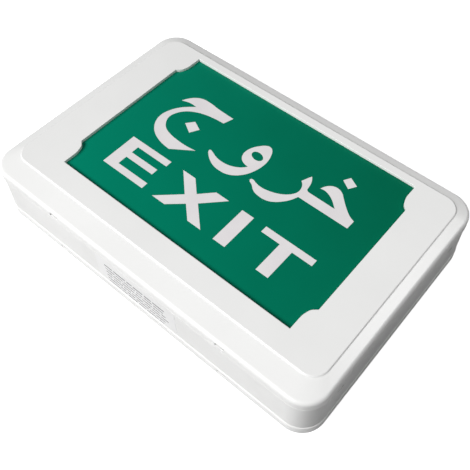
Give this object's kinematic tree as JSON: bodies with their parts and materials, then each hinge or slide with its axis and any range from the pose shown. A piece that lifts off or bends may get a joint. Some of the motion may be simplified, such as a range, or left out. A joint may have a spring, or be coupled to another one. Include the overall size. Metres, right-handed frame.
{
  "type": "emergency exit light",
  "caption": "Wall-mounted self-contained emergency exit light: flat rounded white plastic box with a green and white backlit exit legend, lamp, battery and test button.",
  "frame": {"origin": "centre of the flat back face, on the wall plane", "axes": "+X along the legend's reading direction, +Y the sign's up, +Z out of the wall"},
  "size_m": [0.35, 0.233, 0.06],
  "materials": {
    "white_abs": "white moulded ABS, semi-gloss",
    "legend_green": "green printed film",
    "opal_acrylic": "opal white acrylic sheet",
    "white_steel": "white stove enamel",
    "lamp_tube": "phosphor-coated tube",
    "cap_aluminium": "plain",
    "pin_brass": "plain",
    "holder_white": "white polycarbonate",
    "zinc_screw": "zinc plated",
    "board_laminate": "glass laminate",
    "spacer_nylon": "natural nylon",
    "ferrite": "sintered ferrite",
    "winding_tape": "polyester tape over the coil",
    "capacitor_sleeve": "shrink sleeve",
    "relay_black": "black moulding",
    "sink_aluminium": "extruded, plain",
    "fuse_glass": "clear tube with plated ends",
    "cell_sleeve": "yellow shrink sleeve",
    "grommet_rubber": "black moulded rubber",
    "button_red": "red moulding",
    "spring_steel": "bright spring wire",
    "signal_green": "clear green lens"
  },
  "bodies": {
    "housing": {"front_cover": "white_abs", "body_frame": "white_abs", "back_plate": "white_abs", "legend_film": "legend_green", "legend_panel": "opal_acrylic", "reflector": "white_steel", "lamp_glass": "lamp_tube", "lamp_cap_left": "cap_aluminium", "lamp_cap_right": "cap_aluminium", "lamp_pins": "pin_brass", "lamp_holder_left": "holder_white", "lamp_holder_right": "holder_white", "reflector_screws": "zinc_screw", "circuit_board": "board_laminate", "board_spacers": "spacer_nylon", "board_screws": "zinc_screw", "transformer_core": "ferrite", "transformer_winding": "winding_tape", "capacitor_1": "capacitor_sleeve", "capacitor_2": "capacitor_sleeve", "relay": "relay_black", "heat_sink": "sink_aluminium", "power_transistor": "relay_black", "fuse": "fuse_glass", "fuse_clips": "pin_brass", "lamp_plug": "holder_white", "battery_plug": "holder_white", "battery_holder": "holder_white", "holder_screws": "zinc_screw", "battery_cell_1": "cell_sleeve", "battery_cell_2": "cell_sleeve", "battery_cell_3": "cell_sleeve", "terminal_block": "spacer_nylon", "terminal_clamps": "pin_brass", "terminal_screws": "zinc_screw", "cable_grommet": "grommet_rubber", "switch_housing": "relay_black", "button_spring": "spring_steel", "charge_lamp": "signal_green"},
    "button": {"test_button": "button_red"}
  },
  "joints": [
    {"name": "test_button_press", "type": "slide", "parent": "housing", "child": "button", "axis": [1, 0, 0], "range_m": [0, 0.0012], "stiffness_N_per_m": 1200, "springref_m": -0.001, "deforming": ["button_spring"]}
  ]
}
